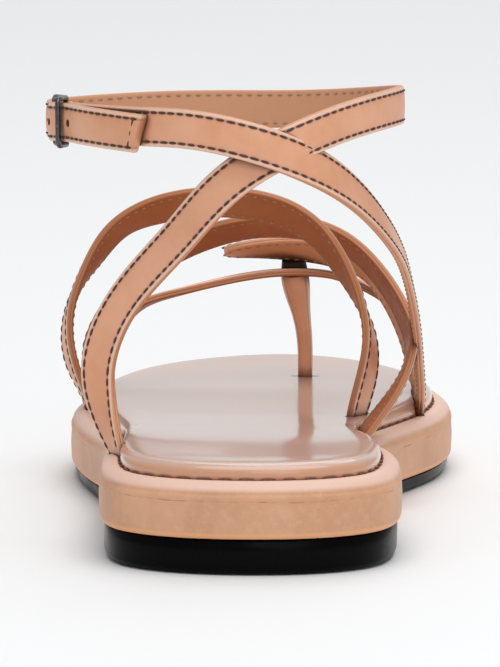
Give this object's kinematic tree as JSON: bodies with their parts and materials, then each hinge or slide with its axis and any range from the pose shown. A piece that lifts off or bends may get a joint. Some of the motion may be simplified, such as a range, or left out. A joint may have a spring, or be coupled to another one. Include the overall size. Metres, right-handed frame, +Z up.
{
  "type": "flatform sandal",
  "caption": "Flat leather thong sandal for a left foot, with a stitched padded footbed on a low platform, crossed instep and ankle straps, a toe post and a side buckle.",
  "frame": {"origin": "middle of the bounding box at floor level, under the sole", "axes": "+X to the inner (medial) side of the foot, +Y from heel to toe, +Z up from the floor"},
  "size_m": [0.099, 0.2364, 0.1074],
  "materials": {
    "outsole": "polished black",
    "platform": "fine-grained tan, lightly waxed",
    "footbed": "smooth polished tan",
    "straps": "vegetable-tanned tan with dark stitching",
    "buckle": "dark nickel"
  },
  "bodies": {
    "root": {"outsole": "outsole", "midsole": "platform", "insole": "footbed", "upper": "straps", "buckle_frame": "buckle", "buckle_prong": "buckle"}
  },
  "joints": []
}
